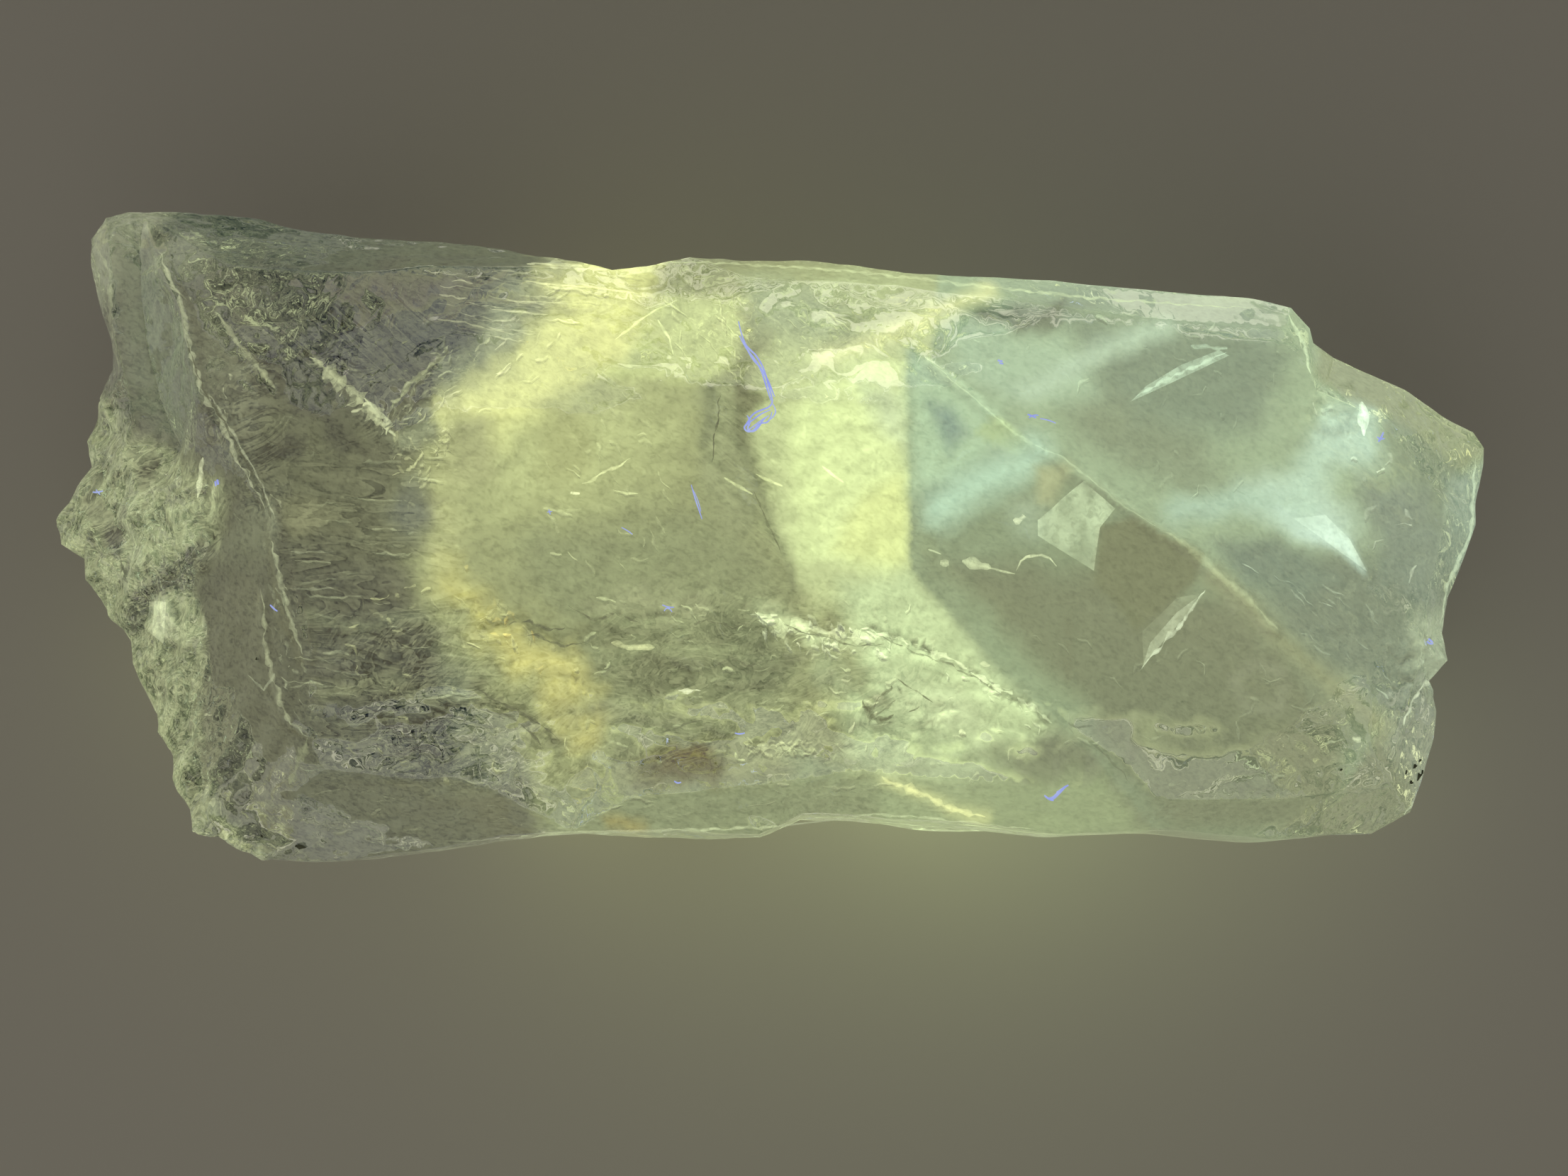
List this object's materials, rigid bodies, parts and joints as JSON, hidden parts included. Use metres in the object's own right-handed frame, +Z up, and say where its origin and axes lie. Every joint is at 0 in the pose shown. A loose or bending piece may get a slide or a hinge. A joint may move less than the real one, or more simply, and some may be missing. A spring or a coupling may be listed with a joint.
{
  "type": "quartz crystal",
  "caption": "Clear pale yellow-green petroleum quartz fragment, flat prism faces, one crumbled broken end and one faceted tip; lies flat as a display or study specimen.",
  "frame": {"origin": "centre of the bounding box's base, on the flat prism face the crystal rests on", "axes": "+X along the crystal towards its pointed end, +Y across it towards the straighter long edge, +Z up"},
  "size_m": [0.0384, 0.0174, 0.0111],
  "materials": {
    "clear_quartz": "water-clear to pale yellow-green, glossy with etched and crumbled areas"
  },
  "bodies": {
    "root": {"quartz_crystal": "clear_quartz"}
  },
  "joints": []
}
